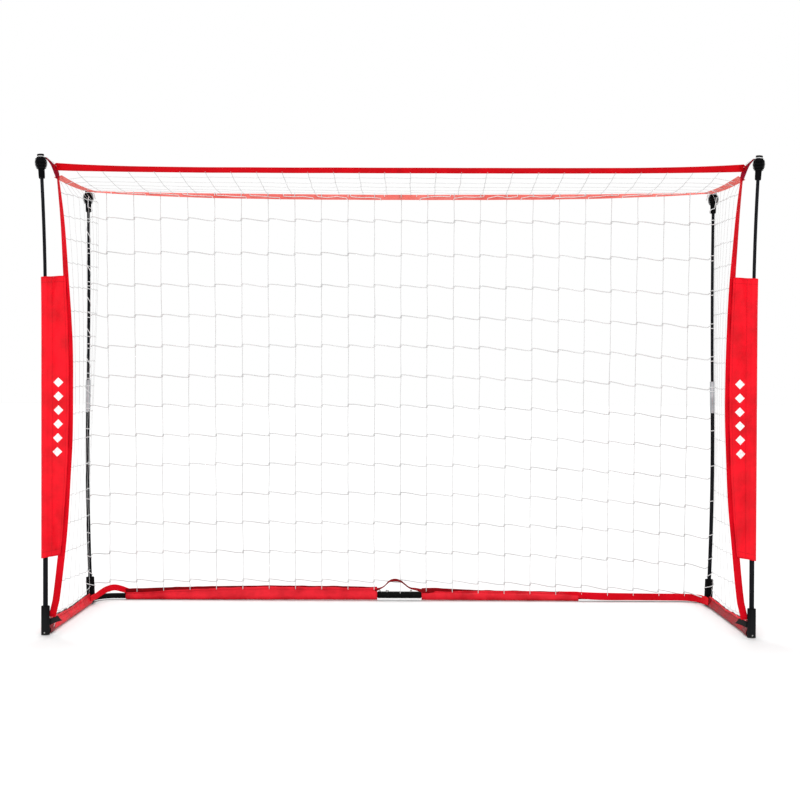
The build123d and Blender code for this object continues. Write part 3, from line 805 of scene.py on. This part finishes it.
def make_side_webbing(side, s):
    """Upright webbing at the mouth's side, turned nearly edge-on at the top."""
    stations = []
    for z in spread(web_low - 6 * MM, web_high - web_low + 2 * MM, 80):
        share = (z - web_low) / (web_high - web_low)
        turn = clamp((share - 0.62) / 0.38)
        twist = radians(15 + 50 * turn + 6 * noise(vec(0, s * 3, z * 5)))
        x = web_x(z) + 1.5 * MM * noise(vec(s, 0, z * 6))
        if z < 90 * MM:
            x += 6 * MM * (90 * MM - z) / (60 * MM)
        half = vec(s * cos(twist), sin(twist), 0) * WEB_HALF
        stations.append((vec(s * x, front_y + 1.5 * MM, z), half))
    strap(f"side_webbing_band_{side}", stations, 1.6 * MM, scarlet_web, "crimson_webbing",
          f"side_webbing_{side}", ("front", side, "side"))


def make_rear_straps(side, s):
    stations = [(back_strap_centre(x), back_strap_half(x)) for x in spread(0, s * BACK_STRAP_END, 60)]
    node = "back_top_strap" if s < 0 else None
    strap(f"back_top_band_{side}", stations, 1.2 * MM, salmon_web, "pale_red_webbing",
          node, ("rear", side, "back"))
    for end, y0, y1 in (("front", front_y + 6 * MM, middle_y), ("rear", middle_y, rear_pole_y - 10 * MM)):
        stations = [(side_strap_point(side, y), side_strap_half(side, y)) for y in spread(y0, y1 - y0, 30)]
        node = f"side_top_strap_{side}" if end == "front" else None
        strap(f"side_top_band_{end}_{side}", stations, 1.2 * MM, salmon_web, "pale_red_webbing",
              node, (end, side, "side"))


def wound_cord(start, end, pitch, centre_at, half_at, ahead):
    """A cord that lies along a strap and takes a quick slanting turn round it at each pitch. centre_at and
    half_at give the strap's middle and half width at a place, and ahead is its direction."""
    thick = 2.2 * MM
    count = max(1, int(abs(end - start) / pitch))
    step = (end - start) / count
    path = []
    for i in range(count):
        for k in range(14):
            turn = tau * k / 14
            t = start + step * (i + 0.5 + 0.13 * (k / 14 - 0.5))
            half = half_at(t)
            face = ahead.cross(half).normalized()
            width = half.length + thick * 0.7
            offset = half.normalized() * sin(turn) * width + face * cos(turn) * thick
            path.append(centre_at(t) + offset)
        if i + 1 < count:
            for k in (0.35, 0.65):
                t = start + step * (i + 0.5 + k)
                half = half_at(t)
                face = ahead.cross(half).normalized()
                path.append(centre_at(t) + face * thick * 0.6 + half * random.uniform(-0.35, 0.35))
    b = Builder()
    b.cord(path, TWINE)
    return b


def back_strap_centre(x):
    share = min(1, abs(x) / BACK_STRAP_END)
    y = back_top_y - 2 * MM - 12 * MM * share**8
    return vec(x, y, (strap_z(x) + strap_z(x, True)) / 2 + 0.8 * MM * noise(vec(x * 8, 9, 0)))


def back_strap_half(x):
    up = max(2.5 * MM, (strap_z(x) - strap_z(x, True)) / 2)
    return vec(0, sqrt(max(0, (10 * MM) ** 2 - up * up)), up)


def make_strap_lacing(side, s):
    """Cord wound round the rear and side top straps."""
    b = wound_cord(s * 4 * MM, s * 0.9, 98 * MM, back_strap_centre, back_strap_half, vec(1, 0, 0))
    b.piece(f"back_lacing_{side}", lacing_twine, "white_cord", None, ("rear", side, "back"))
    for end, y0, y1 in (("front", front_y + 30 * MM, middle_y), ("rear", middle_y, rear_pole_y - 14 * MM)):
        strap_at = partial(side_strap_point, side), partial(side_strap_half, side)
        b = wound_cord(y0, y1, 130 * MM, *strap_at, vec(0, s, 0))
        b.piece(f"side_lacing_{end}_{side}", lacing_twine, "white_cord", None, (end, side, "side"))


def make_cap_loop(end, side, s):
    """A cord loop in a cap's groove. Returns the groove's place."""
    low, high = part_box(f"{end}_cap_{side}")
    low_loop, high_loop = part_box(f"{end}_loop_{side}")
    groove = vec((low.x + high.x) / 2 + s * 0.8 * MM, (low.y + high.y) / 2, high_loop.z - 1.2 * MM)
    inner_x = low_loop.x if s > 0 else high_loop.x
    b = Builder()
    for shift, lift in ((0, 0.8), (4, -0.8)):
        start = vec(inner_x + s * 3 * MM, groove.y - 2.4 * MM + shift * MM, low_loop.z + 4 * MM)
        path = [start, groove + mm(-17 * s, -4, -2)]
        for k in range(17):
            turn = pi * (1.25 + 1.5 * k / 16)
            path.append(groove + vec(s * cos(turn), sin(turn), 0) * 7.4 * MM + UP * lift * MM)
        path += [groove + mm(-17 * s, 4, -2), start + mm(0, 1.2, 0)]
        b.cord(path, 0.95 * MM, 6)
    b.piece(f"cap_loop_{end}_{side}", lacing_twine, "white_cord", f"{end}_loop_{side}",
            body=f"{end}_pole_{side}")
    return groove


def make_front_corner(side, s):
    """The front cap's loop, the folded strap end that it holds, and the crossbar's rolled end."""
    groove = make_cap_loop("front", side, s)
    route = [
        groove + mm(-9.5 * s, 0, -1.5),
        groove + mm(-16 * s, 0, -5),
        vec(s * (corner_x + 9 * MM), front_y + 0.5 * MM, crossbar_top - 2 * MM),
        vec(s * (corner_x + 1 * MM), front_y + 1 * MM, crossbar_top - 18 * MM),
        vec(s * (corner_x - 4 * MM), front_y + 2 * MM, 1.181),
    ]
    widths = smooth_route([vec(w, 0, 0) for w in (2.2, 3.4, 7.5, 8.5, 5)], 32)
    flat = vec(s * 0.86, -0.4, 0.34).normalized()
    stations = [(point, flat * width.x * MM) for point, width in zip(smooth_route(route, 32), widths)]
    where = ("front", side, "side")
    # painted shade: the folded strap end takes the dark maroon webbing
    strap(f"corner_fold_{side}", stations, 1.8 * MM, shaded_fold_web, "crimson_webbing", None, where)
    path = []
    for k in range(26):
        turn = tau * 1.5 * k / 25
        r = (8.6 - 3.4 * k / 25) * MM
        x = corner_x - 3 * MM + r * cos(turn)
        z = crossbar_top - 8.5 * MM + 1.15 * r * sin(turn)
        path.append((vec(s * x, front_y - 0.4 * MM, z), mm(0, 4, 0)))
    strap(f"corner_roll_{side}", path, 1 * MM, crimson_web, "crimson_webbing", None, where)


# ---- wide wraps round the front poles
def flap_profile(side, z):
    """The wrap's cross-section at a height, front leaf, sleeve and back leaf: (distance from the goal's
    middle, depth) for each point."""
    post = abs(pole_at("front", side, z).x)
    inner = web_x(z) + 1 * MM
    seam = post - 15 * MM
    r = 10.4 * MM
    points = [(inner + (seam - inner) * k / 14, -1.3 * MM - 1.6 * MM * sin(pi * k / 14)) for k in range(15)]
    for k in range(19):
        turn = radians(225.6 + (494.4 - 225.6) * k / 18)
        points.append((post + r * cos(turn), r * sin(turn)))
    points += [(seam + (inner - seam) * k / 14, 1.3 * MM + 0.8 * MM * sin(pi * k / 14)) for k in range(15)]
    return points


def make_pole_flap(side, s):
    rows, uv_rows = [], []
    count, limit = 96, 1.1 * MM
    tall = flap_high - flap_low
    for share in spread(0, 1, count):
        row, uv_row = [], []
        section = flap_profile(side, flap_low + tall * share)
        for i, ((x, y), run) in enumerate(zip(section, runs(section))):
            reach = (x - 0.86) / 0.066
            bottom = flap_low - 2 * MM + 14 * MM * (1 - reach) * (1 if y < 0 else 0.8)
            top = flap_high + 1.5 * MM - 4 * MM * reach
            z = bottom + (top - bottom) * share
            place = vec(x * 24, s * 5, z * 13)
            fold = noise(place) * 3 + noise(place * 2.7 + vec(9, 0, 0)) * 1.9
            pull = sin((x * 260 + z * 46)) * 1.3 * exp(-((flap_high - z) / 0.11) ** 2)
            pull += sin((x * 230 - z * 52)) * 1.1 * exp(-((z - flap_low) / 0.12) ** 2)
            on_sleeve = 15 <= i <= 33
            bulge = (fold + pull) * (0.35 if on_sleeve else 1) * MM
            push = abs(bulge) * 0.6 if on_sleeve else max(-limit, bulge)
            row.append((s * x, front_y + y + (-push if i < 24 else push), z))
            uv_row.append((run, z / MM))
        rows.append(row)
        uv_rows.append(uv_row)
    width = uv_rows[count // 2][-1][0] * MM
    cloth_sheet(rows, uv_rows, f"pole_wrap_{side}", flap_cloth, 0.7 * MM, "red_polyester",
                f"pole_flap_{side}", flat=(round(width, 3), round(tall, 3)), held="stretched",
                rests_on=[f"front_pole_upper_{side}", f"side_webbing_band_{side}"])
    lines = Builder()
    above = mm(0, -0.55, 0)
    for column in (2, 13):
        lines.stitches([Vector(row[column]) + above for row in rows], tall, 4 * MM, tall - 4 * MM)
    for index in (2, count - 2):
        lines.stitches([Vector(p) + above for p in rows[index][:24]], 70 * MM, 2 * MM, 69 * MM)
    lines.piece(f"pole_wrap_stitches_{side}", stitch_thread, "red_polyester")


# ---- wraps round the base tube
def wrap_section(front_top, back_top, droop, slack):
    """Cross-section round the tube, from the front edge down, under and up to the back edge:
    (across, height above the tube's axis). Positive across is away from the goal's middle."""
    r = tube_r + 1.3 * MM + slack

    def leaf(t, top):
        return 1.6 * MM + (r * 0.94 - 1.6 * MM) * t**1.6, top + (3 * MM - top) * t

    points = [(-across, height) for across, height in (leaf(k / 6, front_top) for k in range(7))]
    for k in range(1, 14):
        turn = pi + pi * k / 14
        points.append((r * cos(turn), r * sin(turn) - droop * sin(pi * k / 14)))
    return points + [leaf(1 - k / 6, back_top) for k in range(7)]


def base_wrap(name, stations, sections, out, node, fold_size):
    """A cloth wrap along stations on the tube's axis, with a bound edge and a stitch line near it. out is
    the direction away from the goal's middle."""
    rows, uv_rows, run = [], [], 0.0
    last = len(sections[0]) - 1
    for i, (station, section) in enumerate(zip(stations, sections)):
        if i:
            run += (station - stations[i - 1]).length / MM
        row = []
        for j, (across, height) in enumerate(section):
            place = station * 17 + vec(j * 0.3, 0, 7)
            fold = noise(place) * 2 + noise(place * 2.3 + vec(0, 5, 0)) * 1.3
            crease = noise(station * 48 + vec(height * 60, 0, j * 0.5))
            fold = (fold - 1.1 * abs(crease)) * MM * fold_size
            above = max(0, min(1, height / (14 * MM)))
            sign = -1 if j < last / 2 else 1
            push = sign * max(-0.5 * MM, fold) * (0.4 + 0.6 * above)
            near_edge = min(j, last - j) < 4
            lift = noise(station * 30 + vec(0, 0, sign)) * 1.8 * MM * above if near_edge else 0.0
            point = station + out * (across + push) + UP * (height + lift)
            point.z = max(point.z, 0.5 * MM)
            row.append(point)
        rows.append(row)
        uv_rows.append([(around, run) for around in runs(section)])
    flat = (round(uv_rows[len(rows) // 2][-1][0] * MM, 3), round(run * MM, 3))
    tube = node.replace("rear_base_flap", "base_tube").replace("side_base_flap", "base_tube")
    # the lining side takes the darker red cloth, as painted shade inside the wrap
    cloth_sheet(rows, uv_rows, name, wrap_cloth, 0.8 * MM, "red_polyester", node, shaded_inner_cloth,
                flat=flat, held="folded", rests_on=[tube])
    edge = [(row[0].lerp(row[1], 0.6) - out * 0.3 * MM, (row[0] - row[1]) * 0.9) for row in rows]
    strap(f"{name}_binding", edge, 1.9 * MM, wrap_cloth, "red_polyester")
    lines = Builder()
    lines.stitches([row[2] - out * 0.6 * MM for row in rows], run * MM, 3 * MM, run * MM - 3 * MM)
    lines.piece(f"{name}_stitches", stitch_thread, "red_polyester")


def make_rear_wrap(side, s):
    coupler_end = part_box("rear_coupler")[1].x + 1 * MM
    low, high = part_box(f"rear_base_flap_{side}")
    first, last = (low.x, -coupler_end) if s < 0 else (coupler_end, high.x)
    stations, sections = [], []
    for x in spread(first, last - first, 120):
        z = bar_z(x)
        top = hem_top_z(x) - z
        droop = max(0, z - tube_r - 2.5 * MM) * 0.8
        if s < 0:
            gap = (4 + 12 * exp(-(x - first) / 0.16)) * MM
        else:
            gap = (2 + 8 * exp(-(((x - 0.12) / 0.06) ** 2))) * MM
        stations.append(vec(x, rear_y, z))
        sections.append(wrap_section(max(9.6 * MM, top - gap), top, droop, 1 * MM))
    base_wrap(f"rear_wrap_{side}", stations, sections, vec(0, 1, 0), f"rear_base_flap_{side}",
              1 if s < 0 else 1.5)


def side_wrap_top(y):
    share = (y - front_y) / (rear_pole_y - front_y)
    return (33 - 4 * share + 2.2 * sin(9 * share)) * MM


def make_side_wrap(side, s):
    low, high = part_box(f"side_base_flap_{side}")
    stations, sections = [], []
    for y in spread(low.y, high.y + 6 * MM - low.y, 80):
        top = side_wrap_top(y) - side_tube_z
        stations.append(vec(s * post_x, y, side_tube_z))
        sections.append(wrap_section(top * 0.96, top * 0.9, 0, 0.6 * MM))
    base_wrap(f"side_wrap_{side}", stations, sections, vec(s, 0, 0), f"side_base_flap_{side}", 1.3)

    # dark hook strip inside the wrap, whose frayed edge shows above it here and there
    stations = []
    for y in spread(low.y + 20 * MM, high.y - low.y - 40 * MM, 120):
        peak = 3 * noise(vec(s * 2, y * 26, 0)) + 2 * noise(vec(0, y * 160, s))
        edge = side_wrap_top(y) + (1.6 * (s < 0) + max(-1.5, peak)) * MM
        stations.append((vec(s * (post_x - 0.6 * MM), y, edge - 5 * MM), UP * 6 * MM))
    strap(f"hook_strip_{side}", stations, 1.2 * MM, black_cloth, "black_fabric")

    # darker sleeve round the socket's stub, between the wrap and the post
    post_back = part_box(f"front_socket_{side}")[0].y + 22.5 * MM
    length = low.y + 6 * MM - post_back
    rows, uv_rows = [], []
    for k, y in enumerate(spread(post_back, length, 20)):
        section = wrap_section((28 + 2 * sin(0.4 * k)) * MM, 25 * MM, 0, 2.6 * MM)
        row = []
        for j, (across, height) in enumerate(section):
            fold = max(-0.3 * MM, noise(vec(s * 3, y * 60, j * 0.4)) * 1.1 * MM)
            point = vec(s * (post_x + across + (-fold if j < 13 else fold)), y, side_tube_z + height)
            point.z = max(point.z, 0.5 * MM)
            row.append(point)
        rows.append(row)
        uv_rows.append([(around, y / MM) for around in runs(section)])
    flat = (round(uv_rows[10][-1][0] * MM, 3), round(length, 3))
    cloth_sheet(rows, uv_rows, f"foot_sleeve_{side}", dark_cloth, 0.9 * MM, "red_polyester", None,
                flat=flat, held="folded", rests_on=[f"front_socket_{side}"])


def smooth_route(points, count):
    """Evenly spaced places on a smooth line through a few points (Catmull-Rom)."""
    p = [points[0] * 2 - points[1], *points, points[-1] * 2 - points[-2]]
    out = []
    spans = len(p) - 3
    for k in range(count + 1):
        t = k / count * spans
        i = min(int(t), spans - 1)
        t -= i
        a, b, c, d = p[i : i + 4]
        bend, swing = 2 * a - 5 * b + 4 * c - d, 3 * b - a - 3 * c + d
        out.append(0.5 * ((2 * b) + (c - a) * t + bend * t * t + swing * t**3))
    return out


def laid_strap(name, route, material, node=None):
    """A strap through given places: (x, y, z, half width in mm, lean back in degrees)."""
    count = 24 * (len(route) - 1)
    line = smooth_route([Vector(r[:3]) for r in route], count)
    shape = smooth_route([vec(r[3], r[4], 0) for r in route], count)
    stations = []
    for i, point in enumerate(line):
        ahead = line[min(i + 1, count)] - line[max(i - 1, 0)]
        level = vec(ahead.x, ahead.y, 0).normalized()
        out = vec(-level.y, level.x, 0)
        half, lean = shape[i].x * MM, radians(shape[i].y)
        stations.append((point, (UP * cos(lean) + out * sin(lean)) * half))
    strap(name, stations, 1.5 * MM, material, "crimson_webbing", node)


def make_rear_hem():
    """Hem webbing along the rear bar. It bridges the left corner, stands inside the wraps in a darker red
    that is painted shade, is pulled up over the coupler by a net cord, and lies against the tube on the
    right."""
    def places(rows, y=rear_y, z=0):
        """Rows of x, then y and z in millimetres from the given lines, half width and lean."""
        return [(x, y + dy * MM, z + dz * MM, half, lean) for x, dy, dz, half, lean in rows]

    left = places((
        (-0.9035, -52, 21, 8.5, 4), (-0.9015, -24, 21, 9, 4),
        (-0.8985, 4, 21.5, 9.5, 6), (-0.894, 34, 25, 9.5, 12),
    ), rear_pole_y) + places((
        (-0.880, -26, 33, 9.5, 20), (-0.860, -11, 37, 9.5, 24),
        (-0.838, -5, 32, 9.5, 16), (-0.824, 0.2, 26, 9, 6),
        (-0.808, 0.8, 22, 8, 0),
    ))
    laid_strap("rear_hem_left", left, scarlet_web, "rear_hem")
    inside = (-0.828, -0.7, -0.55, -0.4, -0.25, -0.12)
    middle = [(x, rear_y - 0.9 * MM, hem_top_z(x) - 9.2 * MM, 9.5, 0) for x in inside]
    middle += places((
        (-0.076, -2, 15, 6, 30), (-0.05, -7, 24, 3.6, 62),
        (-0.03, -10, 42, 4.2, 52), (-0.012, -11, 46, 4.8, 40),
        (0.006, -10, 41, 4.2, 55), (0.03, -8, 23, 3.8, 60),
        (0.05, -6, 18, 5, 50), (0.075, -5, 13, 6, 30),
    ), z=coupler.z)
    middle += [(x, rear_y - 0.4 * MM, hem_top_z(x) - 8.5 * MM, 8.5, 0) for x in (0.13, 0.25, 0.4, 0.52)]
    # painted shade: this middle piece takes the darker red webbing
    laid_strap("rear_hem_middle", middle, shaded_hem_web)
    right = places((
        (0.48, -1, 22, 7, 0), (0.535, -7, 19, 9.5, 6),
        (0.6, -9.9, 15.5, 11, 6), (0.72, -9.9, 14.5, 10.5, 6),
        (0.845, -10.7, 14, 10.5, 6), (0.879, -24, 14.5, 11, 6),
        (0.8965, -50, 15.5, 11.5, 6),
    )) + places((
        (0.899, 2, 17, 12, 4), (0.9015, -26, 18.5, 12, 2),
        (0.903, -56, 20, 11, 2),
    ), rear_pole_y)
    laid_strap("rear_hem_right", right, scarlet_web)


def make_side_hem(side, s):
    low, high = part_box(f"side_base_flap_{side}")
    stations = []
    for y in spread(low.y - 4 * MM, high.y - low.y + 8 * MM, 30):
        stations.append((vec(s * (post_x + 0.8 * MM), y, side_wrap_top(y) - 9 * MM), UP * 7.5 * MM))
    strap(f"side_hem_band_{side}", stations, 1.3 * MM, scarlet_web, "pale_red_webbing", f"side_hem_{side}")


def make_foot(side, s):
    """Dark patch at the foot of the side webbing, and the white tie round the tube."""
    rows, uv_rows = [], []
    for t in spread(0, 1, 12):
        base = vec(s * (post_x - 10 * MM), front_y + 5 * MM, 24 * MM + 18 * MM * t)
        tip = vec(s * (post_x - (38 - 10 * t) * MM), front_y + 26 * MM - 12 * MM * t, 33 * MM + 13 * MM * t)
        row, uv_row = [], []
        for u in spread(0, 1, 8):
            bend = vec(0, -4 * MM * sin(pi * u), 1.5 * MM * sin(5 * t + 3 * u))
            row.append(tuple(base.lerp(tip, u) + bend))
            uv_row.append((u * 28, t * 20))
        rows.append(row)
        uv_rows.append(uv_row)
    cloth_sheet(rows, uv_rows, f"foot_patch_{side}", black_cloth, 1.3 * MM, "black_fabric",
                f"net_gusset_{side}", flat=(0.036, 0.018), area=0.00047, held="stretched",
                rests_on=[f"front_socket_{side}"])
    path = []
    r = 9.6 * MM
    for k in range(60):
        turn = tau * 3 * k / 59
        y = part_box(f"front_socket_{side}")[1].y + 1.5 * MM + 7.5 * MM * k / 59
        path.append(vec(s * post_x + r * cos(turn), y, side_tube_z + r * sin(turn)))
    path.append(path[-1] + mm(-4 * s, -3, 9))
    path.append(path[-1] + mm(-3 * s, -6, 6))
    tie = Builder()
    tie.cord(path, 1.1 * MM, 6)
    tie.piece(f"foot_tie_{side}", lacing_twine, "white_cord")


# ---- floor, light and camera
def make_stage():
    bpy.ops.mesh.primitive_plane_add(size=60, location=(0, 8, -0.0005))
    floor = bpy.context.object
    floor.name = "floor"
    n = Nodes("pale_floor")
    floor.data.materials.append(n.set(Base_Color=(0.7, 0.7, 0.7, 1), Roughness=0.95, Specular_IOR_Level=0))
    world = bpy.data.worlds.new("studio")
    bpy.context.scene.world = world
    world.use_nodes = True
    world.node_tree.nodes["Background"].inputs["Color"].default_value = (1, 1, 1, 1)
    world.node_tree.nodes["Background"].inputs["Strength"].default_value = 1.0
    sun = bpy.data.objects.new("back_light", bpy.data.lights.new("back_light", "SUN"))
    sun.data.energy = 1.9
    sun.data.angle = radians(30)
    sun.rotation_euler = (radians(-26), 0, radians(8))
    panel = bpy.data.objects.new("front_light", bpy.data.lights.new("front_light", "AREA"))
    panel.data.energy = 34
    panel.data.size = 1.2
    panel.location = (-0.2, -3.3, 1.8)
    panel.rotation_euler = (vec(0, 0, 0.6) - panel.location).to_track_quat("-Z", "Y").to_euler()
    for light in (sun, panel):
        bpy.context.scene.collection.objects.link(light)
    bpy.context.scene.view_settings.view_transform = "Standard"


def make_camera():
    """Four metres in front of the goal's middle, rolled by a fraction of a degree."""
    data = bpy.data.cameras.new("camera")
    data.lens, data.sensor_width = 64.1, 36.0
    data.clip_start, data.clip_end = 0.1, 100
    camera = bpy.data.objects.new("camera", data)
    bpy.context.scene.collection.objects.link(camera)
    place = vec(0.0229, -3.9877, 0.655)
    look = (vec(0.0017, 0, 0.6083) - place).normalized()
    right = look.cross(UP).normalized()
    up = right.cross(look)
    roll = radians(0.179)
    right, up = right * cos(roll) + up * sin(roll), up * cos(roll) - right * sin(roll)
    axes = Matrix((right, up, -look)).transposed().to_4x4()
    camera.matrix_world = Matrix.Translation(place) @ axes
    bpy.context.scene.camera = camera


def each_side(*makers):
    for make in makers:
        for side, s in SIDES.items():
            make(side, s)


finish_cad_nodes()
make_stage()
make_camera()
each_side(make_side_webbing, make_crossbar, make_rear_straps, make_strap_lacing, make_front_corner)
each_side(partial(make_cap_loop, "rear"))
make_back_net()
make_roof_net()
each_side(make_side_net, make_pole_lacing, make_pole_flap, make_rear_wrap, make_side_wrap)
make_rear_hem()
each_side(make_side_hem, make_foot)
